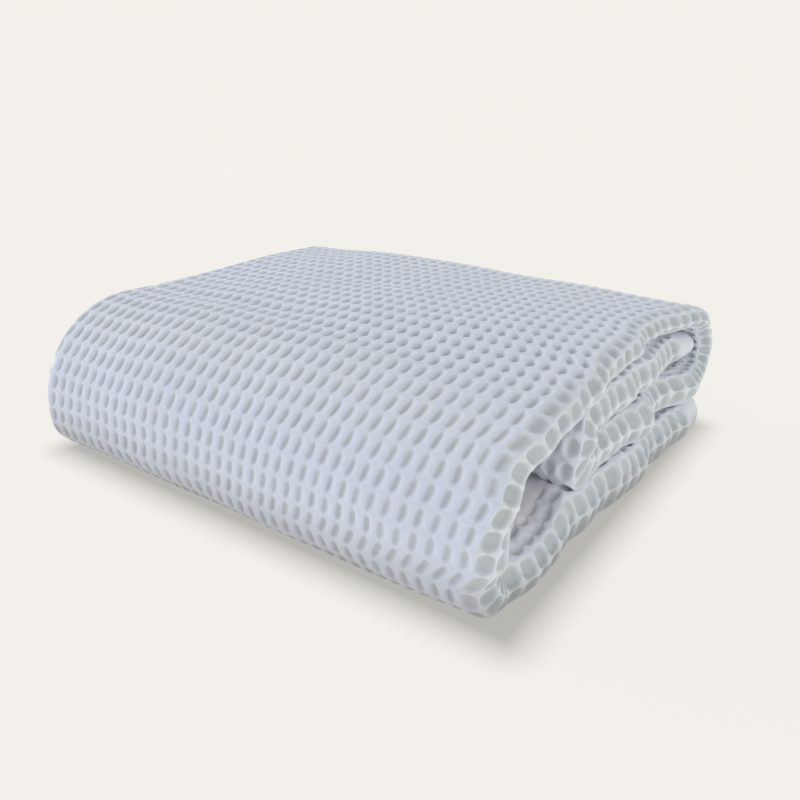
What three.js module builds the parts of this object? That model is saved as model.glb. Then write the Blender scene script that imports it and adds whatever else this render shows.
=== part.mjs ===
// A cotton blanket in large-cell honeycomb cloth, folded up and lying flat.
// Its width is folded in half twice, which makes a strip four layers thick.
// The strip is then folded over three times along its length, each fold round
// the one before, which stacks four of its thicknesses. The last fold wraps
// round the front, and the first, inside it, stops short, so that a hollow
// runs the whole way behind the front.
// Millimetres, +Z up. X runs along the front fold and Y towards the back.
// The origin is on the floor, under the middle of the folded blanket.

import * as THREE from 'three';

// Driving dimensions of the folded blanket.
const LENGTH = 362;
const DEPTH = 316;
const HOLLOW_DEPTH = 102;      // front of the blanket to the front of the fold inside it
const CLOTH = 4;               // honeycomb cloth over its ridges

// Each thickness of the strip: the height of its middle, and the pitch of its
// four layers. The two inside lie closer to each other than to the bottom.
const STRIPS = {
  bottom: { middle: 13.1, pitch: 7.4 },
  lowerInside: { middle: 47.4, pitch: 6.8 },
  upperInside: { middle: 74.6, pitch: 6.8 },
  top: { middle: 99.1, pitch: 4.6 },
};
const FRONT_PITCH = 7;
const BACK_PITCH = 5.6;
const halfStrip = (pitch) => 1.5 * pitch + CLOTH / 2;
const HEIGHT = STRIPS.top.middle + halfStrip(STRIPS.top.pitch);

// Mesh steps along a straight run, where its end spreads, and round a
// quarter turn and a half turn.
const RUN_STEPS = 6;
const FLARE_STEPS = 3;
const QUARTER_STEPS = 6;
const HALF_STEPS = 8;

// The blanket is highest at its crown and lower by this much far from it.
const CROWN = { x: 80, y: -10, reach: 150, rise: 5 };

// How far it sinks further, where, and over what reach.
const SINKS = [
  { place: 'back left corner', x: -181, y: 148, reach: 75, sink: 10 },
  { place: 'left side', x: -181, y: 0, reach: 90, sink: 7 },
  { place: 'front left corner', x: -181, y: -158, reach: 60, sink: 3 },
  { place: 'back edge on the left', x: 0, y: 180, reach: 110, sink: 7 },
  { place: 'back edge on the right', x: 170, y: 170, reach: 90, sink: 7 },
];

const HALF_TURN = Math.PI;
const QUARTER_TURN = Math.PI / 2;

// Folds across the width, in a plane of X and height in the strip, drawn at
// an even layer pitch. The walk starts at a free edge on the left, and a
// positive turn is to the left.
const DRAWN_PITCH = 6;
const wide = 1.5 * DRAWN_PITCH;
const tight = 0.5 * DRAWN_PITCH;
const leftTurnX = -LENGTH / 2 + tight + CLOTH / 2;
const rightTurnX = LENGTH / 2 - wide - CLOTH / 2;
const across = { run: rightTurnX - leftTurnX, steps: RUN_STEPS };
const WIDTH_FOLDS = [
  { part: 'first layer', ...across },
  { part: 'outer fold at the right', turn: HALF_TURN, radius: wide, steps: HALF_STEPS },
  { part: 'fourth layer', ...across },
  { part: 'fold at the left', turn: HALF_TURN, radius: tight, steps: HALF_STEPS - 2 },
  { part: 'third layer', ...across },
  { part: 'inner fold at the right', turn: -HALF_TURN, radius: tight, steps: HALF_STEPS - 2 },
  { part: 'second layer', ...across },
];

// Folds along the length, in a plane of Y and Z. The walk starts at the free
// end under the back. The front turns sharply at its foot and slowly above.
// slide says how far the right end of the strip lies along X from its place
// by the end of a row, and pitch how far apart its layers lie there.
const { bottom, lowerInside, upperInside, top } = STRIPS;
const footRadius = 14.5;
const shoulderRadius = 60;
const backRadius = (top.middle - lowerInside.middle) / 2;
const insideRadius = (upperInside.middle - lowerInside.middle) / 2;
const footY = -DEPTH / 2 + halfStrip(FRONT_PITCH) + footRadius;
const shoulderY = -DEPTH / 2 + halfStrip(FRONT_PITCH) + shoulderRadius;
const frontRise = top.middle - bottom.middle - footRadius - shoulderRadius;
const backY = DEPTH / 2 - halfStrip(BACK_PITCH) - backRadius;
const insideY = -DEPTH / 2 + HOLLOW_DEPTH + halfStrip(upperInside.pitch) + insideRadius;
const bottomEndY = DEPTH / 2 - 25;
const innerEndY = backY + 5;
const flareY = backY - 55;     // behind this the right end spreads to the back corner
const LENGTH_START = { slide: 0, pitch: bottom.pitch };
const LENGTH_FOLDS = [
  { part: 'bottom', run: bottomEndY - footY, steps: RUN_STEPS, slide: -9, pitch: bottom.pitch },
  { part: 'front foot', turn: -QUARTER_TURN, radius: footRadius, steps: QUARTER_STEPS,
    slide: -13, pitch: FRONT_PITCH },
  { part: 'front', run: frontRise, steps: 1, slide: -9, pitch: FRONT_PITCH },
  { part: 'front shoulder', turn: -QUARTER_TURN, radius: shoulderRadius, steps: QUARTER_STEPS,
    slide: -4, pitch: 5.6 },
  { part: 'top', run: flareY - shoulderY, steps: RUN_STEPS - 2, slide: -14, pitch: top.pitch },
  { part: 'top at the back', run: backY - flareY, steps: FLARE_STEPS, slide: -5, pitch: top.pitch },
  { part: 'back fold, upper half', turn: -QUARTER_TURN, radius: backRadius, steps: QUARTER_STEPS,
    slide: 2, pitch: BACK_PITCH },
  { part: 'back fold, lower half', turn: -QUARTER_TURN, radius: backRadius, steps: QUARTER_STEPS,
    slide: 3, pitch: lowerInside.pitch },
  { part: 'lower inside at the back', run: backY - flareY, steps: FLARE_STEPS, slide: -9,
    pitch: lowerInside.pitch },
  { part: 'lower inside', run: flareY - insideY, steps: RUN_STEPS - 2, slide: -9,
    pitch: lowerInside.pitch },
  { part: 'inside fold', turn: -HALF_TURN, radius: insideRadius, steps: HALF_STEPS,
    slide: -9, pitch: upperInside.pitch },
  { part: 'upper inside', run: innerEndY - insideY, steps: RUN_STEPS, slide: -11,
    pitch: upperInside.pitch },
];

// Walks a table of straight runs and turns in a plane. Each station has its
// place, the unit normal on its left, and the slide and pitch there.
function walk(start, heading, rows, startValues) {
  const stations = [];
  const place = start.clone();
  const record = (angle, slide, pitch) => stations.push({
    place: place.clone(),
    normal: new THREE.Vector2(-Math.sin(angle), Math.cos(angle)),
    slide,
    pitch,
  });
  let { slide: fromSlide, pitch: fromPitch } = startValues;
  record(heading, fromSlide, fromPitch);
  for (const row of rows) {
    const { run = 0, turn = 0, radius = 0, steps, slide = fromSlide, pitch = fromPitch } = row;
    const side = Math.sign(turn);
    const ahead = new THREE.Vector2(Math.cos(heading), Math.sin(heading));
    const leftward = new THREE.Vector2(-ahead.y, ahead.x);
    const from = place.clone();
    const centre = from.clone().addScaledVector(leftward, side * radius);
    for (let step = 1; step <= steps; step += 1) {
      const share = step / steps;
      const eased = THREE.MathUtils.smoothstep(share, 0, 1);
      const angle = heading + turn * share;
      if (turn === 0) {
        place.copy(from).addScaledVector(ahead, run * share);
      } else {
        const outward = new THREE.Vector2(Math.sin(angle), -Math.cos(angle));
        place.copy(centre).addScaledVector(outward, side * radius);
      }
      record(
        angle,
        THREE.MathUtils.lerp(fromSlide, slide, eased),
        THREE.MathUtils.lerp(fromPitch, pitch, eased),
      );
    }
    heading += turn;
    fromSlide = slide;
    fromPitch = pitch;
  }
  return stations;
}

// Lets the blanket settle: the right end slides along X, and heights shrink
// where it sinks, in proportion, so that the underside stays flat.
function settle(point, slide) {
  const towardsRight = THREE.MathUtils.smoothstep(point.x, -LENGTH / 6, LENGTH / 2);
  const fromCrown = Math.hypot(point.x - CROWN.x, point.y - CROWN.y) / CROWN.reach;
  let lowered = CROWN.rise * (1 - Math.exp(-fromCrown * fromCrown));
  for (const { x, y, reach, sink } of SINKS) {
    const away = Math.hypot(point.x - x, point.y - y) / reach;
    lowered += sink * Math.exp(-away * away);
  }
  point.x += slide * towardsRight;
  point.z *= 1 - lowered / HEIGHT;
  return point;
}

// The closed body of one cloth folded along both paths: each point of the
// width path is carried along the length path, on both faces of the cloth.
function foldedCloth(widthPath, lengthPath, thickness) {
  const rows = lengthPath.length;
  const columns = widthPath.length;
  const positions = [];
  for (const face of [0.5, -0.5]) {
    for (const { place: spine, normal: up, slide, pitch } of lengthPath) {
      for (const { place, normal } of widthPath) {
        const raised = place.y * pitch / DRAWN_PITCH + face * thickness * normal.y;
        const point = new THREE.Vector3(
          place.x + face * thickness * normal.x,
          spine.x + raised * up.x,
          spine.y + raised * up.y,
        );
        positions.push(...settle(point, slide).toArray());
      }
    }
  }
  const at = (face, row, column) => (face * rows + row) * columns + column;
  const indices = [];
  const quad = (a, b, c, d) => indices.push(a, b, c, a, c, d);
  for (let row = 0; row + 1 < rows; row += 1) {
    for (let column = 0; column + 1 < columns; column += 1) {
      quad(at(0, row, column), at(0, row, column + 1), at(0, row + 1, column + 1), at(0, row + 1, column));
      quad(at(1, row, column), at(1, row + 1, column), at(1, row + 1, column + 1), at(1, row, column + 1));
    }
    const last = columns - 1;
    quad(at(0, row, 0), at(0, row + 1, 0), at(1, row + 1, 0), at(1, row, 0));
    quad(at(0, row, last), at(1, row, last), at(1, row + 1, last), at(0, row + 1, last));
  }
  for (let column = 0; column + 1 < columns; column += 1) {
    const last = rows - 1;
    quad(at(0, 0, column), at(1, 0, column), at(1, 0, column + 1), at(0, 0, column + 1));
    quad(at(0, last, column), at(0, last, column + 1), at(1, last, column + 1), at(1, last, column));
  }
  const geometry = new THREE.BufferGeometry();
  geometry.setAttribute('position', new THREE.Float32BufferAttribute(positions, 3));
  geometry.setIndex(indices);
  return geometry;
}

const widthStart = new THREE.Vector2(leftTurnX, -wide);
const lengthStart = new THREE.Vector2(bottomEndY, bottom.middle);
const widthPath = walk(widthStart, 0, WIDTH_FOLDS, { slide: 0, pitch: DRAWN_PITCH });
const lengthPath = walk(lengthStart, HALF_TURN, LENGTH_FOLDS, LENGTH_START);
const geometry = foldedCloth(widthPath, lengthPath, CLOTH);
geometry.computeBoundingBox();
const middle = geometry.boundingBox.getCenter(new THREE.Vector3());
geometry.translate(-middle.x, -middle.y, 0);
geometry.computeVertexNormals();

const cotton = new THREE.MeshStandardMaterial({ color: 0xd3dae6, roughness: 0.95, metalness: 0 });
const cloth = new THREE.Mesh(geometry, cotton);
cloth.name = 'blanket';

const blanket = new THREE.Group();
blanket.add(cloth);

export default blanket;
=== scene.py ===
import math
import bpy
import numpy as np
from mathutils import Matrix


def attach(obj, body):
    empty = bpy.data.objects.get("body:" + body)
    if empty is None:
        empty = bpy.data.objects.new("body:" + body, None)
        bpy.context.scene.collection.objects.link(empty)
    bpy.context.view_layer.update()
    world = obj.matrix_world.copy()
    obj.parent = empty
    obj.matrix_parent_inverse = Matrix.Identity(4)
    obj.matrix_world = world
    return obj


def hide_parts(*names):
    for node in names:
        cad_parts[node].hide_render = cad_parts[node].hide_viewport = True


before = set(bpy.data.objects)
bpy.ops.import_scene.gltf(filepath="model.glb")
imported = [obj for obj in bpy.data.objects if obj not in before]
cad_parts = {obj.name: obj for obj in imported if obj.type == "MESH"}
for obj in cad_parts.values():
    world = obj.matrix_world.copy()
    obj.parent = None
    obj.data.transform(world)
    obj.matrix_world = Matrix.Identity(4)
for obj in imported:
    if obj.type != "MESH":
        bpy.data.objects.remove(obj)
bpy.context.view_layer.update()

# A cotton blanket in large-cell honeycomb cloth, folded up and lying on a pale floor.
# Metres, +Z up. u runs across the cloth's width and s along its length, over the
# outside of the folds, and every surface below is a function of these two.

print("scene: camera")
view = dict(
    place=(0.3115, -0.4271, 0.2680),
    lookDown=24.35,      # degrees under the horizon
    heading=35.44,       # degrees from +Y towards -X
    lens=36.0,
    sensor=36.0,
)
cameraData = bpy.data.cameras.new("photoCamera")
cameraData.lens = view["lens"]
cameraData.sensor_width = view["sensor"]
cameraData.clip_end = 60
cameraObject = bpy.data.objects.new("photoCamera", cameraData)
cameraObject.location = view["place"]
cameraObject.rotation_euler = (math.radians(90 - view["lookDown"]), 0, math.radians(view["heading"]))
bpy.context.collection.objects.link(cameraObject)
bpy.context.scene.camera = cameraObject


# The folded blanket's own sizes, the same as its solid's.
blanket = dict(
    length=0.362,
    depth=0.316,
    hollowDepth=0.102,   # front of the blanket to the front of the fold inside it
    cloth=0.004,         # honeycomb cloth over its ridges
    drawnPitch=0.006,    # layer pitch that the width path is drawn at
    footRadius=0.0145,
    shoulderRadius=0.060,
    bottomShort=0.025,   # the free end under the back stops this far inside it
    innerPast=0.005,     # the inner free end reaches this far into the back fold
    flare=0.055,         # the right end spreads over this much before the back
    frontPitch=0.007,    # layer pitches round the folds
    shoulderPitch=0.0056,
    backPitch=0.0056,
    middleX=0.0015,      # half of how far the right end slides past its own length
    crown=dict(x=0.080, y=-0.010, reach=0.150, rise=0.005),
)
strips = dict(
    bottom=dict(middle=0.0131, pitch=0.0074),
    lowerInside=dict(middle=0.0474, pitch=0.0068),
    upperInside=dict(middle=0.0746, pitch=0.0068),
    top=dict(middle=0.0991, pitch=0.0046),
)
sinks = [
    dict(x=-0.181, y=0.148, reach=0.075, sink=0.010),   # back left corner
    dict(x=-0.181, y=0.000, reach=0.090, sink=0.007),   # left side
    dict(x=-0.181, y=-0.158, reach=0.060, sink=0.003),  # front left corner
    dict(x=0.000, y=0.180, reach=0.110, sink=0.007),    # back edge on the left
    dict(x=0.170, y=0.170, reach=0.090, sink=0.007),    # back edge on the right
]
cloth = blanket["cloth"]
wide = 1.5 * blanket["drawnPitch"]
tight = 0.5 * blanket["drawnPitch"]
leftTurnX = -blanket["length"] / 2 + tight + cloth / 2
rightTurnX = blanket["length"] / 2 - wide - cloth / 2
layerRun = rightTurnX - leftTurnX


def halfStrip(pitch):
    return 1.5 * pitch + cloth / 2


height = strips["top"]["middle"] + halfStrip(strips["top"]["pitch"])

# Folds across the width, in a plane of X and height in the strip. A positive turn is to the left.
widthFolds = [
    dict(part="first layer", run=layerRun),
    dict(part="outer fold at the right", turn=math.pi, radius=wide),
    dict(part="fourth layer", run=layerRun),
    dict(part="fold at the left", turn=math.pi, radius=tight),
    dict(part="third layer", run=layerRun),
    dict(part="inner fold at the right", turn=-math.pi, radius=tight),
    dict(part="second layer", run=layerRun),
]

# Folds along the length, in a plane of Y and Z, from the free end under the back.
# slide is how far the right end lies along X by the end of a row.
low, lower, upper, top = (strips[name] for name in ("bottom", "lowerInside", "upperInside", "top"))
frontPitch, backPitch = blanket["frontPitch"], blanket["backPitch"]
quarter = math.pi / 2
backRadius = (top["middle"] - lower["middle"]) / 2
insideRadius = (upper["middle"] - lower["middle"]) / 2
frontFace = -blanket["depth"] / 2 + halfStrip(frontPitch)
footY = frontFace + blanket["footRadius"]
shoulderY = frontFace + blanket["shoulderRadius"]
frontRise = top["middle"] - low["middle"] - blanket["footRadius"] - blanket["shoulderRadius"]
backY = blanket["depth"] / 2 - halfStrip(backPitch) - backRadius
insideY = -blanket["depth"] / 2 + blanket["hollowDepth"] + halfStrip(upper["pitch"]) + insideRadius
bottomEndY = blanket["depth"] / 2 - blanket["bottomShort"]
innerEndY = backY + blanket["innerPast"]
flareY = backY - blanket["flare"]
lengthFolds = [
    dict(part="bottom", run=bottomEndY - footY, slide=-0.009, pitch=low["pitch"]),
    dict(part="front foot", turn=-quarter, radius=blanket["footRadius"], slide=-0.013, pitch=frontPitch),
    dict(part="front", run=frontRise, slide=-0.009, pitch=frontPitch),
    dict(part="front shoulder", turn=-quarter, radius=blanket["shoulderRadius"], slide=-0.004,
         pitch=blanket["shoulderPitch"]),
    dict(part="top", run=flareY - shoulderY, slide=-0.014, pitch=top["pitch"]),
    dict(part="top at the back", run=backY - flareY, slide=-0.005, pitch=top["pitch"]),
    dict(part="back fold, upper half", turn=-quarter, radius=backRadius, slide=0.002, pitch=backPitch),
    dict(part="back fold, lower half", turn=-quarter, radius=backRadius, slide=0.003, pitch=lower["pitch"]),
    dict(part="lower inside at the back", run=backY - flareY, slide=-0.009, pitch=lower["pitch"]),
    dict(part="lower inside", run=flareY - insideY, slide=-0.009, pitch=lower["pitch"]),
    dict(part="inside fold", turn=-math.pi, radius=insideRadius, slide=-0.009, pitch=upper["pitch"]),
    dict(part="upper inside", run=innerEndY - insideY, slide=-0.011, pitch=upper["pitch"]),
]


def rowLength(row):
    return row["run"] if "run" in row else abs(row["turn"]) * row["radius"]


def smooth(share):
    share = np.clip(share, 0, 1)
    return share * share * (3 - 2 * share)


# Place, left normal, slide and pitch at each distance along straight runs and
# turns joined end to end: a run moves along its heading, and a turn moves round
# a centre that lies one radius to its left or right.
def walkAt(rows, start, heading, startValues, distance):
    place = np.zeros(distance.shape + (2,))
    angle = np.full(distance.shape, float(heading))
    slide = np.full(distance.shape, float(startValues[0]))
    pitch = np.full(distance.shape, float(startValues[1]))
    at = np.array(start, float)
    reached = 0.0
    lastSlide, lastPitch = startValues
    for number, row in enumerate(rows):
        length = rowLength(row)
        inside = distance >= reached if number else np.ones(distance.shape, bool)
        share = (distance[inside] - reached) / length
        if number + 1 < len(rows):
            share = np.minimum(share, 1)
        share = np.maximum(share, 0)
        ahead = np.array([math.cos(heading), math.sin(heading)])
        leftward = np.array([-ahead[1], ahead[0]])
        if "run" in row:
            place[inside] = at + ahead * (share * length)[:, None]
            angle[inside] = heading
            at = at + ahead * length
        else:
            side = math.copysign(1, row["turn"])
            centre = at + leftward * side * row["radius"]
            turned = heading + row["turn"] * share
            outward = np.stack([np.sin(turned), -np.cos(turned)], -1)
            place[inside] = centre + outward * side * row["radius"]
            angle[inside] = turned
            heading = heading + row["turn"]
            at = centre + np.array([math.sin(heading), -math.cos(heading)]) * side * row["radius"]
        eased = smooth(share)
        slide[inside] = lastSlide + (row.get("slide", lastSlide) - lastSlide) * eased
        pitch[inside] = lastPitch + (row.get("pitch", lastPitch) - lastPitch) * eased
        lastSlide = row.get("slide", lastSlide)
        lastPitch = row.get("pitch", lastPitch)
        reached += length
    return place, np.stack([-np.sin(angle), np.cos(angle)], -1), slide, pitch


def widthWalk(distance):
    return walkAt(widthFolds, (leftTurnX, -wide), 0, (0, blanket["drawnPitch"]), distance)


def lengthWalk(distance):
    return walkAt(lengthFolds, (bottomEndY, low["middle"]), math.pi, (0, low["pitch"]), distance)


# The outside of the folds is longer than their middle line: this adds up the
# middle line's steps, each made longer by the layer's height over the radius.
def outsideLengths(rows, steps=12000):
    ends = np.cumsum([rowLength(row) for row in rows])
    along = np.linspace(0, ends[-1], steps)
    bend = np.zeros(steps)
    for end, row in zip(ends, rows):
        if "turn" in row:
            bend[(along > end - rowLength(row)) & (along <= end)] = 1 / row["radius"]
    stretch = 1 + bend * lengthWalk(along)[3] * 1.5
    grown = np.concatenate([[0], np.cumsum(np.diff(along) * (stretch[1:] + stretch[:-1]) / 2)])
    return along, grown


middleLine, outsideLine = outsideLengths(lengthFolds)
rowEnds = np.interp(np.cumsum([rowLength(row) for row in lengthFolds]), middleLine, outsideLine)
endOf = {row["part"]: float(end) for row, end in zip(lengthFolds, rowEnds)}
widthOfCloth = sum(rowLength(row) for row in widthFolds)
lengthOfCloth = float(outsideLine[-1])
foldStart = layerRun
foldMiddle = layerRun + math.pi * wide / 2
fourthStart = layerRun + math.pi * wide
fourthEnd = fourthStart + layerRun
innerFoldStart = fourthEnd + math.pi * tight + layerRun

# Low waves that all the layers share, so that they stay apart: sums of slow sines.
unevenness = dict(
    swell=0.0006,
    swellPeak=1.4,
    # radians a metre by x and by s, phase, size
    swells=[(41, 13, 0.6, 1.0), (23, -29, 2.1, 0.8), (67, 7, 4.0, 0.6)],
    endWave=0.0014,
    # radians a metre by s, phase, size
    endWaves=[(61, 0.4, 1.0), (107, 1.9, 0.7), (173, 3.1, 0.5)],
)

# Where the movements of the cloth start, and over how much they grow to their whole size.
fades = dict(
    offFloor=0.02,             # swell and creases, by s past the bottom
    puckerStart=(0.12, 0.08),  # puckers, by u
    puckerEnd=0.008,           # and up to the middle of the fold
    loose=(0.09, 0.06),        # loose ends, by x
    looseRow=0.03,             # and by s at both ends of a row
    pull=(0.12, 0.05),         # tugs, by x
)

# Creases, each a soft ridge, or a trough where it rises by less than nothing. x and s are
# its middle, lean is its turn from X towards the back, and long and wide its half sizes.
creases = [
    dict(part="shoulder on the left", x=-0.085, s=0.447, lean=0.04, long=0.075, wide=0.009, rise=-0.0014),
    dict(part="shoulder in the middle", x=0.030, s=0.434, lean=-0.10, long=0.050, wide=0.008, rise=-0.0009),
    dict(part="top towards the back", x=-0.020, s=0.545, lean=0.12, long=0.090, wide=0.012, rise=-0.0011),
    dict(part="top on the right", x=0.095, s=0.500, lean=0.55, long=0.050, wide=0.010, rise=0.0008),
    dict(part="front above its foot", x=-0.110, s=0.318, lean=-0.06, long=0.060, wide=0.008, rise=-0.0010),
    dict(part="front in the middle", x=0.010, s=0.345, lean=0.08, long=0.080, wide=0.012, rise=0.0011),
    dict(part="front near the right", x=0.120, s=0.325, lean=-0.35, long=0.035, wide=0.008, rise=0.0009),
    dict(part="foot on the left", x=-0.060, s=0.288, lean=0.05, long=0.040, wide=0.007, rise=-0.0011),
    dict(part="foot on the right", x=0.085, s=0.292, lean=-0.07, long=0.045, wide=0.007, rise=-0.0012),
]
creaseBend = 0.12  # how far a crease's line bends at its ends, as a share of its length

# Where the first layer alone stands away from its thickness, at the right end.
puckers = [
    dict(part="hollow, at the front", x=0.158, s=0.246, lean=0.5, long=0.020, wide=0.0065, rise=0.0036),
    dict(part="hollow, behind that", x=0.160, s=0.226, lean=0.9, long=0.018, wide=0.0060, rise=0.0030),
    dict(part="hollow, further in", x=0.140, s=0.238, lean=0.2, long=0.025, wide=0.0080, rise=0.0024),
    dict(part="bottom, under the inside", x=0.166, s=0.190, lean=0.7, long=0.018, wide=0.0070, rise=0.0040),
    dict(part="bottom, half way back", x=0.164, s=0.130, lean=0.3, long=0.030, wide=0.0080, rise=0.0035),
    dict(part="bottom, near the back", x=0.166, s=0.075, lean=0.8, long=0.022, wide=0.0080, rise=0.0030),
    dict(part="lower inside, half way", x=0.165, s=0.822, lean=0.1, long=0.022, wide=0.0130, rise=0.0020),
]

# Where the right end is pulled along X, Y and Z, at a place along the length. level is the
# height in the thickness, from -1 at its first layer to 1 at its fourth.
tugs = [
    dict(part="lower inside, half way", s=0.828, reach=0.020, level=-0.5, spread=0.7, move=(0.0050, 0, 0)),
    dict(part="upper inside, half way", s=1.012, reach=0.016, level=-0.4, spread=0.8, move=(0.0030, 0, 0)),
    dict(part="inside fold, above", s=0.945, reach=0.012, level=0.2, spread=0.9, move=(-0.0030, 0, 0)),
    dict(part="inside fold, below", s=0.906, reach=0.017, level=0.7, spread=0.8, move=(0, -0.0050, -0.0070)),
    dict(part="overhang", s=0.820, reach=0.026, level=0.6, spread=0.8, move=(0.0040, 0, -0.0035)),
    dict(part="inner free end", s=1.123, reach=0.030, level=0.0, spread=2.0, move=(0.0020, 0.0070, 0)),
    dict(part="bottom, under that", s=0.135, reach=0.028, level=-0.8, spread=0.7, move=(0.0022, 0, 0.0025)),
    dict(part="bottom, half way", s=0.100, reach=0.018, level=0.3, spread=1.0, move=(0.0018, 0, 0)),
    dict(part="bottom, at the back", s=0.022, reach=0.014, level=0.0, spread=1.0, move=(0.0025, 0, 0)),
    dict(part="front, half way up", s=0.345, reach=0.012, level=0.0, spread=1.0, move=(-0.0018, 0, 0)),
    dict(part="shoulder", s=0.392, reach=0.012, level=0.0, spread=1.0, move=(0.0018, 0, 0)),
    dict(part="back fold, below", s=0.715, reach=0.014, level=0.4, spread=0.9, move=(-0.0022, 0, 0)),
]
# At the right end the layers of some thicknesses stand looser, further apart by this share
# from the level of the hinge, so that the thicknesses touch.
looseEnds = [
    dict(part="bottom, behind the hollow", start=-0.1, end=0.225, share=0.30, hinge=1),
    dict(part="inside", start=0.740, end=1.3, share=0.11, hinge=0),
    dict(part="inner free end", start=1.094, end=1.3, share=-0.36, hinge=0),
]
pleats = dict(s=0.826, reach=0.022, level=-0.5, pitch=0.0042, out=0.0010)


def fadeIn(value, fade):
    start, over = fade
    return smooth((value - start) / over)


# How far along X the strip's right end has slid at x, as a share.
def towardsRight(x):
    return smooth((x + blanket["length"] / 6) / (blanket["length"] * 2 / 3))


def swell(x, s):
    waves = sum(size * np.sin(x * byX + s * byS + phase) for byX, byS, phase, size in unevenness["swells"])
    return unevenness["swell"] * waves / unevenness["swellPeak"]


def endWave(s):
    waves = sum(size * np.sin(s * byS + phase) for byS, phase, size in unevenness["endWaves"])
    return unevenness["endWave"] * waves


# A sum of bells: each rises by rise, falls off over wide across its line and over long
# along it, and its line bends a little.
def bells(rows, x, s):
    total = np.zeros(np.broadcast(x, s).shape)
    for row in rows:
        alongX, alongS = x - row["x"], s - row["s"]
        along = alongX * math.cos(row["lean"]) + alongS * math.sin(row["lean"])
        beside = alongS * math.cos(row["lean"]) - alongX * math.sin(row["lean"])
        beside = beside - creaseBend * along * along / row["long"]
        total = total + row["rise"] * np.exp(-(beside / row["wide"]) ** 2 - (along / row["long"]) ** 4)
    return total


# How far the right end is pulled: bells along s and over the level in the thickness,
# with waves along X, and fine pleats as a sine in one stretch.
def endPull(s, level):
    pull = np.zeros(np.broadcast(s, level).shape + (3,))
    for row in tugs:
        alongS = (s - row["s"]) / row["reach"]
        alongLevel = (level - row["level"]) / row["spread"]
        bell = np.exp(-alongS ** 2 - alongLevel ** 2)
        pull = pull + bell[..., None] * np.array(row["move"])
    share = np.exp(-((s - pleats["s"]) / pleats["reach"]) ** 2 - (level - pleats["level"]) ** 2)
    pull[..., 0] += endWave(s) + pleats["out"] * share * np.sin(2 * math.pi * s / pleats["pitch"])
    return pull


# A point of the cloth: the width path carried along the length path, moved by
# offset along the cloth's own normal, loosened at the right end, and then settled as the
# solid is.
def clothPoint(u, s, offset):
    place, normal, _, _ = widthWalk(u)
    v = np.interp(s, outsideLine, middleLine)
    spine, up, slide, pitch = lengthWalk(v)
    onFirst = smooth((foldMiddle - u) / fades["puckerEnd"]) * fadeIn(u, fades["puckerStart"])
    offset = offset - bells(puckers, place[..., 0], s) * onFirst
    level = place[..., 1] / wide
    atEnd = fadeIn(place[..., 0], fades["loose"])
    apart = level
    for row in looseEnds:
        inRow = smooth((s - row["start"]) / fades["looseRow"]) * smooth((row["end"] - s) / fades["looseRow"])
        apart = apart + row["share"] * atEnd * inRow * (level - row["hinge"])
    raised = apart * wide * pitch / blanket["drawnPitch"] + offset * normal[..., 1]
    x = place[..., 0] + offset * normal[..., 0]
    offFloor = smooth((s - endOf["bottom"]) / fades["offFloor"])
    raised = raised + (swell(x, s) + bells(creases, x, s)) * offFloor
    y = spine[..., 0] + raised * up[..., 0]
    z = spine[..., 1] + raised * up[..., 1]
    crown = blanket["crown"]
    away = np.hypot(x - crown["x"], y - crown["y"]) / crown["reach"]
    lowered = crown["rise"] * (1 - np.exp(-away * away))
    for dip in sinks:
        away = np.hypot(x - dip["x"], y - dip["y"]) / dip["reach"]
        lowered = lowered + dip["sink"] * np.exp(-away * away)
    z = z * (1 - lowered / height)
    pull = endPull(s, level) * fadeIn(x, fades["pull"])[..., None]
    x = x + slide * towardsRight(x) - blanket["middleX"]
    return np.stack([x, y, z], -1) + pull


# The honeycomb: slots between broad rounded ribs. Widths and reaches are shares of half a cell.
weave = dict(
    cellAcross=0.0096,
    centreAcross=-0.0030,    # a column of slots is centred here, from the start of the fourth layer
    cellAlong=0.0127,
    centreAlong=0.4110,      # and a row of slots here, along the outside of the length
    looser=dict(row=3.5, reach=2.1, grows=0.0130),       # rows lie further apart behind the shoulder
    drift=dict(s=0.405, reach=0.075, grows=0.0115),      # columns drift left away from the shoulder
    slot=dict(
        width=0.57, reach=0.87, power=6.0, depth=0.0022, lean=-0.48, steep=3.2, bridge=0.86, crossing=0.80,
    ),
    shorter=dict(reach=0.66, depth=0.0036, start=0.395, over=0.060),   # and deeper, on the top
    # round the fold at the right end the slots are stretched wide, between thin ribs
    stretched=dict(
        width=0.90, reach=0.95, power=4.0, depth=0.0036, lean=0.0, steep=6.0, bridge=0.95, crossing=0.97,
    ),
    stretchedReach=0.0125,
    thinnest=0.03,
    shoulder=dict(place=0.5, height=0.94),               # of a rib, between a slot and its border
    uneven=dict(width=0.07, place=0.09, depth=0.12),     # shares by which the cells differ
    wander=dict(across=0.0005, along=0.0006),
    hem=0.012,
    hemFade=0.004,
    hemClear=0.008,          # the middles of the slots keep this far from the hem
    foldClear=0.004,         # and coarse lines this far from those of the hidden folds
    still=dict(before=0.16, past=0.12, over=0.08, ends=0.05),   # beyond this, no line wanders
    stitch=dict(inside=0.0095, wide=0.0008, deep=0.0006),
)
slotShares = (0.0, 0.4, 0.75, 1.0)
slotHeights = (0.0, 0.15, 0.46, 0.78)
stretchedHeights = (0.0, 0.02, 0.09, 0.34)
alongShares = (-1.0, -0.84, -0.62, -0.32, 0.0, 0.32, 0.62, 0.84)
hemLines = np.array([0, 0.0015, 0.005, 0.0085, 0.0095, 0.0105, weave["hem"] - 0.0002])


# Where row j of slots lies along the length: even steps and one tanh step.
def rowPlace(j):
    looser = weave["looser"]
    step = looser["grows"] * (1 + np.tanh((j - looser["row"]) / looser["reach"])) / 2
    return weave["centreAlong"] + weave["cellAlong"] * j + step


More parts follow.
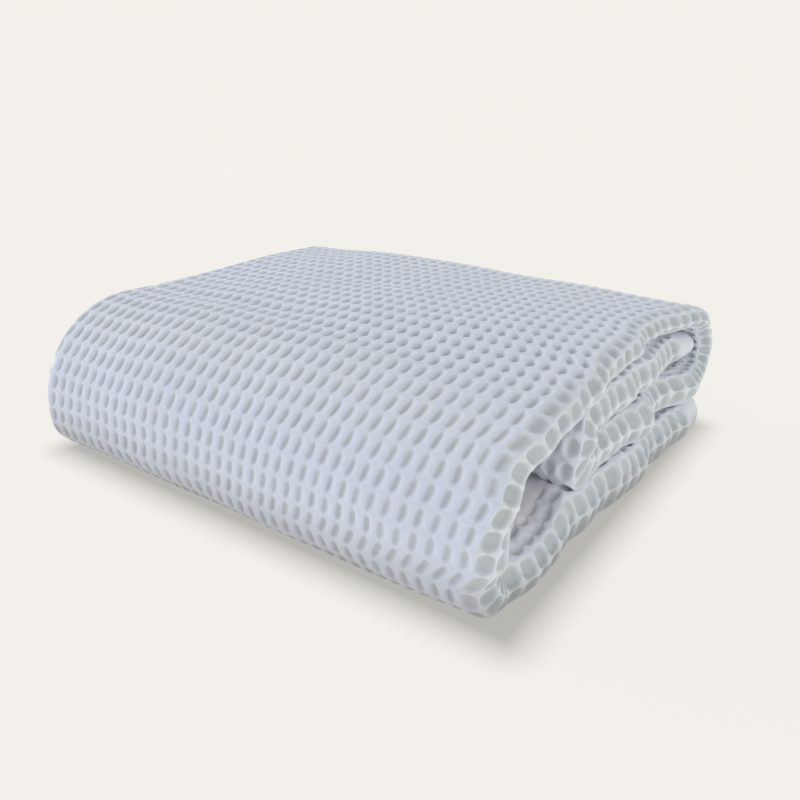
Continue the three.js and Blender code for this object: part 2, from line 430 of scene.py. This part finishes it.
def rowAt(s):
    rows = np.arange(-60, 90)
    return int(round(float(np.interp(s, rowPlace(rows - 0.5), rows))))


firstRow = rowAt(weave["hem"] + weave["hemClear"])
lastRow = rowAt(lengthOfCloth - weave["hem"] - weave["hemClear"])


# The lines of one grid across the cloth: what each lies in (0 a slot, 1 a rib's shoulder,
# 2 the border between columns, 3 plain cloth), its cell, side, share, and its own u if plain.
def linesAcross(fineRanges, middling=(), coarseStep=3):
    pitch = weave["cellAcross"]
    origin = fourthStart + weave["centreAcross"]
    firstCell = math.ceil((weave["hem"] - origin) / pitch + 0.5)
    lastCell = math.floor((widthOfCloth - weave["hem"] - origin) / pitch - 0.5)
    foldLines = innerFoldStart + math.pi * tight * np.linspace(0, 1, 6)
    plain = np.concatenate([hemLines, foldLines, widthOfCloth - hemLines])
    lines = [(at, 3, firstCell, 1, 1.0, at) for at in plain]
    for cell in range(firstCell, lastCell + 1):
        centre = origin + cell * pitch
        border = centre - pitch / 2
        if any(start <= centre <= end for start, end in fineRanges):
            group = [(2, -1, 1.0), (1, -1, 1.0)]
            group += [(0, -1, share) for share in slotShares[:0:-1]]
            group += [(0, 1, share) for share in slotShares]
            group.append((1, 1, 1.0))
        elif any(start <= centre <= end for start, end in middling):
            group = [(2, -1, 1.0), (0, -1, 0.9), (0, 1, 0.0), (0, 1, 0.9)]
        elif (cell - firstCell) % coarseStep == 0 and np.abs(foldLines - border).min() > weave["foldClear"]:
            group = [(2, -1, 1.0)]
        else:
            group = []
        for n, (kind, side, share) in enumerate(group):
            lines.append((border + n * 1e-6, kind, cell, side, share, 0))
    lines.append((origin + (lastCell + 0.5) * pitch, 2, lastCell, 1, 1.0, 0))
    return np.array(sorted(lines), float)[:, 1:]


# The lines along the cloth: whether each is plain, its row, its share from -1 to 1 of
# that row, and its own s if plain.
def linesAlong(fromRow, toRow):
    lines = [(0, row, share, 0) for row in range(fromRow, toRow) for share in alongShares]
    lines.append((0, toRow - 1, 1.0, 0))
    if fromRow == firstRow:
        lines = [(1, firstRow, -1.0, at) for at in hemLines] + lines
    if toRow == lastRow:
        lines += [(1, lastRow - 1, 1.0, lengthOfCloth - at) for at in hemLines[::-1]]
    return np.array(lines, float)


# Noise from -1 to 1 that is the same wherever the same cell is asked for again: the
# fraction of a large sine of its numbers.
def cellNoise(i, j, seed):
    value = np.sin(i * 12.9898 + j * 78.233 + seed * 37.719) * 43758.5453
    return (value - np.floor(value)) * 2 - 1


# The skin over the honeycomb: its place, height from 0 to 1, depth and how stretched it is. A
# slot's half-width is width * (1 - (|t| / reach)^power) along it, and its floor rises from a
# line beside its middle to the ribs, and to both its tips.
def skin(rows, columns):
    kind, cell, side, share, ownU = (columns[:, k][None, :] for k in range(5))
    plainRow, j, t, ownS = (rows[:, k][:, None] for k in range(4))
    s = np.where(plainRow == 1, ownS, rowPlace(j + t / 2))
    drift = weave["drift"]
    drifted = drift["grows"] * (1 - np.exp(-((s - drift["s"]) / drift["reach"]) ** 2))
    nearby = fourthStart + weave["centreAcross"] + cell * weave["cellAcross"] + drifted
    open_ = np.exp(-((nearby - foldMiddle) / weave["stretchedReach"]) ** 4)

    def between(name):
        return weave["slot"][name] + (weave["stretched"][name] - weave["slot"][name]) * open_

    shorter = weave["shorter"]
    onTop = smooth((s - shorter["start"]) / shorter["over"]) * (1 - open_)
    reach = between("reach") + (shorter["reach"] - weave["slot"]["reach"]) * onTop
    length = np.clip(np.abs(t) / reach, 0, 1)
    uneven = weave["uneven"]
    width = between("width") * (1 + uneven["width"] * cellNoise(cell, j, 1))
    width = np.maximum(width * (1 - length ** between("power")), weave["thinnest"])
    shoulder = width + weave["shoulder"]["place"] * (1 - width)
    inside = side * share * width - between("lean") * (1 - share) * width
    a = np.where(kind == 0, inside, side * np.where(kind == 1, shoulder, 1.0))
    a = a + uneven["place"] * cellNoise(cell, j, 2) * (1 - t * t) * (1 - np.abs(a))
    u = fourthStart + weave["centreAcross"] + (cell + a / 2) * weave["cellAcross"]
    deep = (1 - length ** between("steep")) * (1 + uneven["depth"] * cellNoise(cell, j, 3))
    bridge, crossing = between("bridge"), between("crossing")
    floor = np.interp(share, slotShares, slotHeights)
    floor = floor + (np.interp(share, slotShares, stretchedHeights) - floor) * open_
    inSlot = bridge - (bridge - floor) * deep
    corner = np.abs(t) ** 4
    shoulderHeight = weave["shoulder"]["height"]
    onShoulder = shoulderHeight - (shoulderHeight - 0.5 * (bridge + crossing)) * corner
    onBorder = 1 - (1 - crossing) * corner
    h = np.where(kind == 0, inSlot, np.where(kind == 1, onShoulder, onBorder))
    h = np.where((kind == 3) | (plainRow == 1), 1.0, h)
    u = np.where(kind == 3, ownU, u)
    s = np.broadcast_to(s, u.shape)
    still = weave["still"]
    movable = smooth((u - (layerRun - still["before"])) / still["over"])
    movable = movable * smooth((fourthEnd + still["past"] - u) / still["over"])
    offEnds = smooth(s / still["ends"]) * smooth((lengthOfCloth - s) / still["ends"])
    x = widthWalk(u)[0][..., 0]
    wander = weave["wander"]
    u = u + (drifted + wander["across"] * np.sin(x * 37 - s * 45 + 1)) * movable
    s = s + wander["along"] * np.sin(x * 60 + s * 31) * offEnds
    depth = between("depth") + (shorter["depth"] - weave["slot"]["depth"]) * onTop
    return u, s, h, np.broadcast_to(depth, u.shape), np.broadcast_to(open_, u.shape)


# How much of the honeycomb shows: all of it where layers are seen, and none in the
# hems at the free edges and on hidden layers.
def reliefShare(u, s, showing):
    seen = np.zeros(u.shape)
    for start, end in showing:
        fade = weave["cellAcross"]
        seen = np.maximum(seen, smooth((u - start) / fade) * smooth((end - u) / fade))
    return seen * smooth((edgeDistance(u, s) - weave["hem"]) / weave["hemFade"])


def edgeDistance(u, s):
    return np.minimum(np.minimum(u, widthOfCloth - u), np.minimum(s, lengthOfCloth - s))


# Quads of a grid of point numbers, row by row.
def quadsOf(at):
    return np.stack([at[:-1, :-1], at[:-1, 1:], at[1:, 1:], at[1:, :-1]], -1).reshape(-1, 4)


# Faces between a fine line of points and a coarse one that shares some of its places:
# each fine step goes to the nearest coarse point, as a triangle, or as a quad where that changes.
def rim(fineLine, coarseLine, picks, turned):
    middles = (picks[:-1] + picks[1:]) / 2
    nearest = np.searchsorted(middles, np.arange(len(fineLine)))
    a, b = fineLine[:-1], fineLine[1:]
    c, d = coarseLine[nearest[:-1]], coarseLine[nearest[1:]]
    same = nearest[:-1] == nearest[1:]
    triangles = np.stack([a, c, b], -1)[same]
    quads = np.stack([a, c, d, b], -1)[~same]
    if turned:
        triangles = triangles[:, ::-1]
        quads = quads[:, ::-1]
    return quads, triangles


def putMesh(name, points, quads, triangles):
    mesh = bpy.data.meshes.new(name)
    corners = np.concatenate([quads.ravel(), triangles.ravel()])
    starts = np.concatenate([np.arange(len(quads)) * 4, len(quads) * 4 + np.arange(len(triangles)) * 3])
    mesh.vertices.add(len(points))
    mesh.vertices.foreach_set("co", points.ravel())
    mesh.loops.add(len(corners))
    mesh.loops.foreach_set("vertex_index", corners.astype(np.int32))
    mesh.polygons.add(len(starts))
    mesh.polygons.foreach_set("loop_start", starts.astype(np.int32))
    mesh.polygons.foreach_set("use_smooth", np.ones(len(starts), bool))
    mesh.update(calc_edges=True)
    mesh.validate()
    piece = bpy.data.objects.new(name, mesh)
    bpy.context.collection.objects.link(piece)
    return piece


def addAttribute(piece, name, values):
    layer = piece.data.attributes.new(name, "FLOAT", "POINT")
    layer.data.foreach_set("value", values.astype(np.float32))


# The cloth laid flat, as the piece's UV map: 1 is a metre.
def addFlatMap(piece, flatU, flatS):
    mesh = piece.data
    corners = np.empty(len(mesh.loops), np.int32)
    mesh.loops.foreach_get("vertex_index", corners)
    layer = mesh.uv_layers.new(name="flat")
    places = np.stack([flatU[corners], flatS[corners]], -1)
    layer.data.foreach_set("uv", places.ravel().astype(np.float32))


# Where two pieces of the cloth meet, both take the whole cloth's normals: the cross
# product of the steps along and across, with a line of the other piece's added.
def joinNormals(piece, numbers, normals):
    mesh = piece.data
    every = np.empty(len(mesh.vertices) * 3, np.float32)
    mesh.vertex_normals.foreach_get("vector", every)
    every = every.reshape(-1, 3)
    every[numbers] = normals / np.linalg.norm(normals, axis=-1, keepdims=True)
    mesh.normals_split_custom_set_from_vertices(every)


# One piece of the cloth, closed: its honeycomb skin, a plain inner skin on a
# coarser grid, and rims between them.
def clothPiece(name, fromRow, toRow, columns, showing):
    lines = linesAlong(fromRow, toRow)
    before = [[0, fromRow - 1, alongShares[-1], 0]] if fromRow > firstRow else []
    after = [[0, toRow, alongShares[1], 0]] if toRow < lastRow else []
    lines = np.array(before + lines.tolist() + after)
    u, s, h, depth, open_ = skin(lines, columns)
    relief = reliefShare(u, s, showing)
    stitch = weave["stitch"]
    seam = stitch["deep"] * np.exp(-((edgeDistance(u, s) - stitch["inside"]) / stitch["wide"]) ** 2)
    outer = clothPoint(u, s, -cloth / 2 + depth * (1 - h) * relief + seam)
    normals = np.cross(np.gradient(outer, axis=0), np.gradient(outer, axis=1))
    keep = slice(len(before), len(lines) - len(after))
    grids = (u, s, h, open_, relief, outer, normals)
    u, s, h, open_, relief, outer, normals = (grid[keep] for grid in grids)
    rows, count = u.shape
    rowPick = np.unique(np.append(np.arange(0, rows, 4), rows - 1))
    columnPick = np.unique(np.append(np.arange(0, count, 3), count - 1))
    pickU, pickS = u[np.ix_(rowPick, columnPick)], s[np.ix_(rowPick, columnPick)]
    innerSkin = clothPoint(pickU, pickS, np.full(pickU.shape, cloth / 2))
    outerAt = np.arange(rows * count).reshape(rows, count)
    innerAt = rows * count + np.arange(pickU.size).reshape(pickU.shape)
    quads = [quadsOf(outerAt.T), quadsOf(innerAt)]
    triangles = []
    for fineLine, coarseLine, picks, turned in (
        (outerAt[:, 0], innerAt[:, 0], rowPick, False),
        (outerAt[:, -1], innerAt[:, -1], rowPick, True),
        (outerAt[0], innerAt[0], columnPick, True),
        (outerAt[-1], innerAt[-1], columnPick, False),
    ):
        rimQuads, rimTriangles = rim(fineLine, coarseLine, picks, turned)
        quads.append(rimQuads)
        triangles.append(rimTriangles)
    points = np.concatenate([outer.reshape(-1, 3), innerSkin.reshape(-1, 3)])
    piece = putMesh(name, points, np.concatenate(quads), np.concatenate(triangles))
    # rib is the relief's height share: the cotton paints shade into the slots by it, darker where it is low
    addAttribute(piece, "rib", np.concatenate([(1 - (1 - h) * relief).ravel(), np.ones(pickU.size)]))
    # open: how stretched the cloth is round the fold at the right end; the cotton paints shade there by it
    addAttribute(piece, "open", np.append(open_, open_[np.ix_(rowPick, columnPick)]))
    addFlatMap(piece, np.append(u, pickU), np.append(s, pickS))
    seams = ([outerAt[0]] if before else []) + ([outerAt[-1]] if after else [])
    seamNormals = ([normals[0]] if before else []) + ([normals[-1]] if after else [])
    joinNormals(piece, np.concatenate(seams), np.concatenate(seamNormals))
    return piece


# Shader maths as Python expressions: a Wire is a socket, and + - * ** on wires
# and numbers add Math nodes.
class Wire:
    def __init__(self, finish, socket):
        self.finish = finish
        self.socket = socket

    def math(self, operation, *others, swap=False):
        values = [self, *others]
        if swap:
            values.reverse()
        return self.finish.node("ShaderNodeMath", dict(operation=operation), dict(enumerate(values)))

    def __add__(self, other):
        return self.math("ADD", other)

    def __radd__(self, other):
        return self.math("ADD", other, swap=True)

    def __sub__(self, other):
        return self.math("SUBTRACT", other)

    def __rsub__(self, other):
        return self.math("SUBTRACT", other, swap=True)

    def __mul__(self, other):
        return self.math("MULTIPLY", other)

    def __rmul__(self, other):
        return self.math("MULTIPLY", other, swap=True)

    def __pow__(self, other):
        return self.math("POWER", other)

    def sine(self):
        return self.math("SINE")

    def clamp(self):
        return self.finish.node("ShaderNodeClamp", {}, dict(Value=self))


# A material being made. node() adds a node of any type: its settings first, then
# the values or links of its sockets.
class Finish:
    def __init__(self, name):
        self.material = bpy.data.materials.new(name)
        self.material.use_nodes = True
        self.tree = self.material.node_tree
        self.tree.nodes.clear()

    def node(self, kind, settings, sockets, output=0):
        made = self.tree.nodes.new(kind)
        for name, value in settings.items():
            setattr(made, name, value)
        for name, value in sockets.items():
            if isinstance(value, Wire):
                self.tree.links.new(value.socket, made.inputs[name])
            else:
                made.inputs[name].default_value = value
        return Wire(self, made.outputs[output]) if made.outputs else None

    def blend(self, share, first, second):
        sockets = {0: share, 6: first, 7: second}
        return self.node("ShaderNodeMix", dict(data_type="RGBA"), sockets, output=2)

    def vector(self, operation, *values, output=0):
        settings = dict(operation=operation)
        return self.node("ShaderNodeVectorMath", settings, dict(enumerate(values)), output)

    def tint(self, share, colour, factors):
        return self.blend(share, colour, self.vector("MULTIPLY", colour, factors))

    def put(self, shader):
        self.node("ShaderNodeOutputMaterial", {}, dict(Surface=shader))
        return self.material


# Cotton: pale ribs over thinner slot floors, with painted shade that greys the floors, yarn lines both ways
# and a soft fuzz.
# It has painted shade where it is stretched round the fold at the right end, a darker, bluer painted shade
# on the front, a painted light on the first layer in the hollow, and painted shade outside at its foot,
# darker towards the floor.
cottonLook = dict(
    rib=(0.740, 0.785, 0.885, 1),
    # floor: the ribs' colour darkened as painted shade in the slots
    floor=(0.632, 0.650, 0.688, 1),
    # painted shade at the right end, where the cloth is stretched round the fold: greyer, darker copies of
    # the rib and floor colours
    shadedEndRib=(0.715, 0.760, 0.805, 1),
    shadedEndFloor=(0.495, 0.532, 0.558, 1),
    # painted shade at the foot: the dark grey the colour goes to near the floor, the height it reaches, its
    # fade and its share
    foot=(0.350, 0.355, 0.370, 1),
    footShadeHeight=0.042,
    footShadeFade=1.15,
    footShadeShare=0.95,
    front=(0.945, 0.970, 1.015),   # the front's colours are these shares of the others: a painted shade, darker and bluer
    frontShadeEnds=(0.255, 0.385),
    hollow=(1.120, 1.070, 0.990),  # and so are the first layer's: a painted light, lighter and less blue, in the hollow
    patches=26.0,                  # to a metre
    patchy=0.22,
    fuzz=900.0,
    roughness=0.95,
    sheen=0.25,
    through=0.22,            # how much light passes into the cloth
    throughReach=0.0025,
    yarn=0.00085,
    yarnDepth=0.00012,
    yarnShare=0.7,
    fuzzShare=0.6,
    frontEdge=25.0,          # how sharply each colour starts, to a metre
    hollowLightEdge=100.0,
    outsideEdge=150.0,
)


def cottonFinish(look):
    made = Finish("cotton")
    rib = made.node("ShaderNodeAttribute", dict(attribute_name="rib"), {}, output=2)
    flat = made.node("ShaderNodeUVMap", dict(uv_map="flat"), {})
    across = made.node("ShaderNodeSeparateXYZ", {}, {0: flat}, output=0)
    along = made.node("ShaderNodeSeparateXYZ", {}, {0: flat}, output=1)
    place = made.node("ShaderNodeTexCoord", {}, {}, output=3)
    patches = made.node("ShaderNodeTexNoise", {}, dict(Vector=place, Scale=look["patches"], Detail=3.0))
    fuzz = made.node("ShaderNodeTexNoise", {}, dict(Vector=place, Scale=look["fuzz"], Detail=2.0))
    turn = 2 * math.pi / look["yarn"]
    yarns = ((across * turn).sine() + (along * turn).sine()) * 0.25 + 0.5
    # painted shade in the slots: from the rib's colour towards the darker floor's as the relief sinks, with
    # patches of random tone
    share = (rib + (patches - 0.5) * look["patchy"]).clamp()
    # painted shade at the right end: where the cloth is stretched round the fold, the slots and ribs take
    # the greyer, darker end colours
    stretched = made.node("ShaderNodeAttribute", dict(attribute_name="open"), {}, output=2)
    closedColour = made.blend(share, look["floor"], look["rib"])
    openColour = made.blend(share, look["shadedEndFloor"], look["shadedEndRib"])
    above = made.node("ShaderNodeSeparateXYZ", {}, {0: place}, output=2)
    # painted shade on the front: between two places along the length its colours are darker and bluer
    fromFront, toFront = look["frontShadeEnds"]
    edge = look["frontEdge"]
    frontShade = ((along - fromFront) * edge).clamp() * ((toFront - along) * edge).clamp()
    closedColour = made.tint(frontShade, closedColour, look["front"])
    # painted light on the first layer, which lines the hollow and shows at the right end: its colours are
    # lighter
    onFirst = ((layerRun - across) * look["hollowLightEdge"]).clamp()
    closedColour = made.tint(onFirst, closedColour, look["hollow"])
    # the painted shade at the right end takes over where the cloth is stretched
    colour = made.blend(stretched, closedColour, openColour)
    # painted shade at the foot: outside the fold's middle the colour darkens towards the floor
    foot = (1 - above * (1 / look["footShadeHeight"])).clamp() ** look["footShadeFade"]
    outside = ((across - foldMiddle) * look["outsideEdge"] + 0.9).clamp()
    colour = made.blend(foot * outside * look["footShadeShare"], colour, look["foot"])
    relief = yarns * look["yarnShare"] + fuzz * look["fuzzShare"]
    bump = dict(Strength=0.5, Distance=look["yarnDepth"], Height=relief)
    normal = made.node("ShaderNodeBump", {}, bump)
    shader = made.node(
        "ShaderNodeBsdfPrincipled",
        {},
        {
            "Base Color": colour,
            "Roughness": look["roughness"],
            "Specular IOR Level": 0.2,
            "Sheen Weight": look["sheen"],
            "Sheen Roughness": 0.6,
            "Subsurface Weight": look["through"],
            "Subsurface Radius": (1.0, 1.0, 1.0),
            "Subsurface Scale": look["throughReach"],
            "Normal": normal,
        },
    )
    return made.put(shader)


print("scene: cloth")
cotton = cottonFinish(cottonLook)
# How far beyond the folds the honeycomb shows, how far the fine grids go on the hidden
# lengths, and how far the back goes under.
reaches = dict(first=0.016, fourth=0.030, left=0.020, fineFirst=0.050, fineFourth=0.060, under=0.010)
firstShows = (layerRun - reaches["first"], fourthStart)
fourthShows = (fourthStart - reaches["fourth"], fourthEnd + math.pi * tight + reaches["left"])
fourthAtEnd = (fourthStart - reaches["fourth"], fourthStart + reaches["fineFourth"])
showing = [firstShows, fourthShows]
fineAtEnd = (layerRun - reaches["fineFirst"], fourthStart)
wrapLines = linesAcross([fineAtEnd, fourthShows])
endLines = linesAcross([fineAtEnd, fourthAtEnd], [fourthShows])
cuts = dict(
    foot=rowAt(endOf["bottom"]),
    shoulder=rowAt(endOf["front shoulder"]),
    back=rowAt(endOf["top at the back"]),
    under=rowAt(endOf["back fold, lower half"] + reaches["under"]),
)
pieces = [
    ("blanket_bottom", firstRow, cuts["foot"], endLines),
    ("blanket_front", cuts["foot"], cuts["shoulder"], wrapLines),
    ("blanket_top", cuts["shoulder"], cuts["back"], wrapLines),
    ("blanket_back", cuts["back"], cuts["under"], wrapLines),
    ("blanket_inside", cuts["under"], lastRow, endLines),
]
for name, fromRow, toRow, lines in pieces:
    piece = clothPiece(name, fromRow, toRow, lines, showing)
    piece.data.materials.append(cotton)
    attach(piece, "root")
    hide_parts("blanket")
    start = 0 if fromRow == firstRow else rowPlace(fromRow - 0.5)
    end = lengthOfCloth if toRow == lastRow else rowPlace(toRow - 0.5)
    piece.data.calc_loop_triangles()


print("scene: floor and light")
room = dict(
    reach=14.0,
    below=0.0004,            # under the blanket, so that the two never share a face
    flat=6.0,                # it starts to rise here
    rise=6.0,
    colour=(0.93, 0.905, 0.86, 1),
    shaded=0.06,             # near the blanket, how much light the floor takes from the lamps
    shadedReach=0.9,
    glow=0.920,
    farGlow=0.975,
    paintedShadowGlow=0.48,          # the glow in a painted shadow close round the blanket
    # the painted shadow's box as half sizes, then how far past it the shadow reaches and how it fades
    under=(0.174, 0.146, 0),
    paintedShadowReach=0.028,
    paintedShadowFade=1.6,
    shadedFrom=0.6,          # a share of the shaded reach, where it starts to fade
    sky=(0.97, 0.985, 1.0),
    skyStrength=0.53,
)
lamps = [
    dict(
        name="key",
        direction=(-0.95, -0.16, 0.38),
        distance=2.6,
        size=1.5,
        power=28.0,
        colour=(0.88, 0.94, 1.0),
    ),
    dict(
        name="fill",
        direction=(0.95, -0.22, 0.40),
        distance=2.2,
        size=1.6,
        power=7.5,
        colour=(0.97, 1.0, 0.99),
    ),
]


# A pale floor that curves up far away all round: radius r on a grid of rings,
# height = rise * smooth((r - flat) / (reach - flat)).
def makeFloor():
    rings = np.concatenate([
        [0.02],
        np.linspace(0.6, room["flat"], 12),
        np.linspace(room["flat"] + 0.5, room["reach"], 14),
    ])
    angles = np.linspace(0, 2 * math.pi, 65)[:-1]
    r, a = np.meshgrid(rings, angles, indexing="ij")
    z = room["rise"] * smooth((r - room["flat"]) / (room["reach"] - room["flat"])) - room["below"]
    points = np.stack([r * np.cos(a), r * np.sin(a), z], -1).reshape(-1, 3)
    at = np.arange(r.size).reshape(r.shape)
    at = np.concatenate([at, at[:, :1]], 1)
    centre = len(points)
    points = np.concatenate([points, [[0, 0, -room["below"]]]])
    triangles = np.stack([np.full(len(angles), centre), at[0, :-1], at[0, 1:]], -1)
    return putMesh("floor", points, quadsOf(at.T), triangles)


def scaled(colour, share):
    return tuple(channel * share for channel in colour[:3]) + (1,)


# Pale plaster that glows as a lit studio floor does, with a painted shadow close round the blanket where it
# glows less.
# Only near the blanket does it also take light and shade from the lamps.
def floorFinish():
    made = Finish("paleFloor")
    place = made.node("ShaderNodeTexCoord", {}, {}, output=3)
    distance = made.vector("LENGTH", place, output=1)
    beside = made.vector("SUBTRACT", made.vector("ABSOLUTE", place), room["under"])
    away = made.vector("LENGTH", made.vector("MAXIMUM", beside, (0, 0, 0)), output=1)
    grain = made.node("ShaderNodeTexNoise", {}, dict(Vector=place, Scale=3.0, Detail=2.0))
    paler = scaled(room["colour"], 0.99)
    colour = made.blend(grain, paler, room["colour"])
    lit = made.node("ShaderNodeBsdfDiffuse", {}, dict(Color=scaled(room["colour"], room["shaded"])))
    glows = [
        made.node("ShaderNodeEmission", {}, dict(Color=colour, Strength=room[name]))
        for name in ("glow", "paintedShadowGlow", "farGlow")
    ]
    near = made.node("ShaderNodeAddShader", {}, {0: lit, 1: glows[0]})
    under = made.node("ShaderNodeAddShader", {}, {0: lit, 1: glows[1]})
    # painted shadow: the floor's glow drops close round the blanket's footprint
    shadow = (1 - away * (1 / room["paintedShadowReach"])).clamp() ** room["paintedShadowFade"]
    near = made.node("ShaderNodeMixShader", {}, {0: shadow, 1: near, 2: under})
    share = (distance * (1 / room["shadedReach"]) - room["shadedFrom"]).clamp()
    return made.put(made.node("ShaderNodeMixShader", {}, {0: share, 1: near, 2: glows[2]}))


floor = makeFloor()
floor.data.materials.append(floorFinish())

world = bpy.data.worlds.new("softSky")
world.use_nodes = True
world.node_tree.nodes["Background"].inputs["Color"].default_value = (*room["sky"], 1)
world.node_tree.nodes["Background"].inputs["Strength"].default_value = room["skyStrength"]
bpy.context.scene.world = world
bpy.context.scene.view_settings.view_transform = "Standard"


# A round lamp that faces the middle of the blanket.
def areaLight(name, direction, distance, size, power, colour):
    data = bpy.data.lights.new(name, "AREA")
    data.shape = "DISK"
    data.size = size
    data.energy = power
    data.color = colour
    place = np.array(direction) / np.linalg.norm(direction) * distance
    lamp = bpy.data.objects.new(name, data)
    lamp.location = place
    tilt = math.atan2(math.hypot(place[0], place[1]), place[2])
    lamp.rotation_euler = (tilt, 0, math.atan2(place[0], -place[1]))
    bpy.context.collection.objects.link(lamp)


for lamp in lamps:
    areaLight(**lamp)

print("scene: done")
